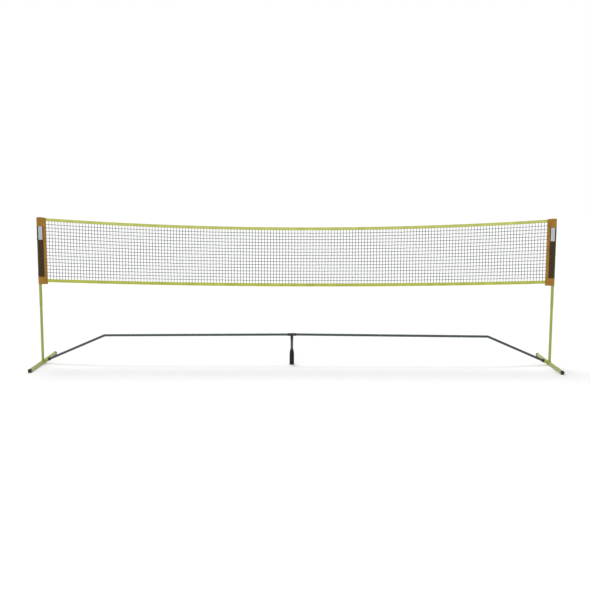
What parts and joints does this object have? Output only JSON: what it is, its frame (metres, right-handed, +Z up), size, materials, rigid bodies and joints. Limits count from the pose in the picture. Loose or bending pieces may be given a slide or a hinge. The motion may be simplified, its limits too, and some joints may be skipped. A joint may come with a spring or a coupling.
{
  "type": "free-standing volleyball net",
  "caption": "Free-standing volleyball net: two plug-in poles on foot bars, an arched base bar with a booted centre leg, and a sleeved net with taped edges.",
  "frame": {"origin": "on the floor, midway between the two pole axes", "axes": "+X along the net to the right, +Y away from the front side, +Z up"},
  "size_m": [8.5576, 1.5, 2.45],
  "materials": {
    "lime_paint": "gloss",
    "dark_paint": "satin",
    "black_plastic": "matte",
    "black_rubber": "matte",
    "lime_plastic": "matte",
    "spring_steel": "brushed",
    "net_twine": "matte",
    "yellow_tape": "matte",
    "white_cord": "matte",
    "orange_cloth": "matte",
    "black_cloth": "matte",
    "label_cloth": "satin"
  },
  "bodies": {
    "base": {"left_foot_bar": "lime_paint", "right_foot_bar": "lime_paint", "left_front_cap": "black_plastic", "left_rear_cap": "black_plastic", "right_front_cap": "black_plastic", "right_rear_cap": "black_plastic", "left_stub_collar": "black_plastic", "right_stub_collar": "black_plastic", "left_knee_tube": "dark_paint", "right_knee_tube": "dark_paint", "left_outer_bar": "dark_paint", "right_outer_bar": "dark_paint", "left_inner_bar": "dark_paint", "right_inner_bar": "dark_paint", "centre_tee": "black_plastic", "centre_leg": "dark_paint", "leg_boot": "black_rubber", "base_button_springs": "spring_steel"},
    "left_stub_button": {"left_stub_button": "spring_steel"},
    "right_stub_button": {"right_stub_button": "spring_steel"},
    "left_outer_button": {"left_outer_button": "spring_steel"},
    "right_outer_button": {"right_outer_button": "spring_steel"},
    "left_inner_button": {"left_inner_button": "spring_steel"},
    "right_inner_button": {"right_inner_button": "spring_steel"},
    "tee_button": {"tee_button": "spring_steel"},
    "leg_button": {"leg_button": "spring_steel"},
    "left_pole": {"left_lower_pole": "lime_paint", "left_upper_pole": "lime_paint", "left_pole_ferrule": "lime_plastic", "left_pole_plug": "black_plastic", "left_pole_spring": "spring_steel"},
    "left_pole_button": {"left_pole_button": "spring_steel"},
    "right_pole": {"right_lower_pole": "lime_paint", "right_upper_pole": "lime_paint", "right_pole_ferrule": "lime_plastic", "right_pole_plug": "black_plastic", "right_pole_spring": "spring_steel"},
    "right_pole_button": {"right_pole_button": "spring_steel"},
    "net": {"net_mesh": "net_twine", "top_tape": "yellow_tape", "bottom_tape": "yellow_tape", "top_cord": "white_cord", "bottom_cord": "white_cord", "left_sleeve": "orange_cloth", "right_sleeve": "orange_cloth", "left_top_block": "orange_cloth", "right_top_block": "orange_cloth", "left_bottom_block": "orange_cloth", "right_bottom_block": "orange_cloth", "left_sleeve_panel": "black_cloth", "right_sleeve_panel": "black_cloth", "left_label": "label_cloth", "right_label": "label_cloth"}
  },
  "joints": [
    {"name": "left_stub_button_press", "type": "slide", "parent": "base", "child": "left_stub_button", "axis": [0, 1, 0], "range_m": [0, 0.0065], "stiffness_N_per_m": 400},
    {"name": "right_stub_button_press", "type": "slide", "parent": "base", "child": "right_stub_button", "axis": [0, 1, 0], "range_m": [0, 0.0065], "stiffness_N_per_m": 400},
    {"name": "left_outer_button_press", "type": "slide", "parent": "base", "child": "left_outer_button", "axis": [0, 1, 0], "range_m": [0, 0.005], "stiffness_N_per_m": 400},
    {"name": "right_outer_button_press", "type": "slide", "parent": "base", "child": "right_outer_button", "axis": [0, 1, 0], "range_m": [0, 0.005], "stiffness_N_per_m": 400},
    {"name": "left_inner_button_press", "type": "slide", "parent": "base", "child": "left_inner_button", "axis": [0, 1, 0], "range_m": [0, 0.005], "stiffness_N_per_m": 400},
    {"name": "right_inner_button_press", "type": "slide", "parent": "base", "child": "right_inner_button", "axis": [0, 1, 0], "range_m": [0, 0.005], "stiffness_N_per_m": 400},
    {"name": "tee_button_press", "type": "slide", "parent": "base", "child": "tee_button", "axis": [0, 1, 0], "range_m": [0, 0.009], "stiffness_N_per_m": 400},
    {"name": "leg_button_press", "type": "slide", "parent": "base", "child": "leg_button", "axis": [0, 1, 0], "range_m": [0, 0.006], "stiffness_N_per_m": 400},
    {"name": "left_pole_lift", "type": "slide", "parent": "base", "child": "left_pole", "axis": [0, 0, 1], "range_m": [0, 0.16]},
    {"name": "left_pole_button_press", "type": "slide", "parent": "left_pole", "child": "left_pole_button", "axis": [0, 1, 0], "range_m": [0, 0.006], "stiffness_N_per_m": 400},
    {"name": "right_pole_lift", "type": "slide", "parent": "base", "child": "right_pole", "axis": [0, 0, 1], "range_m": [0, 0.16]},
    {"name": "right_pole_button_press", "type": "slide", "parent": "right_pole", "child": "right_pole_button", "axis": [0, 1, 0], "range_m": [0, 0.006], "stiffness_N_per_m": 400},
    {"name": "net_lift", "type": "slide", "parent": "left_pole", "child": "net", "axis": [0, 0, 1], "range_m": [0, 1.12]}
  ],
  "couplings": [
    {"joint": "right_pole_lift", "follows": "left_pole_lift", "ratio": 1}
  ]
}
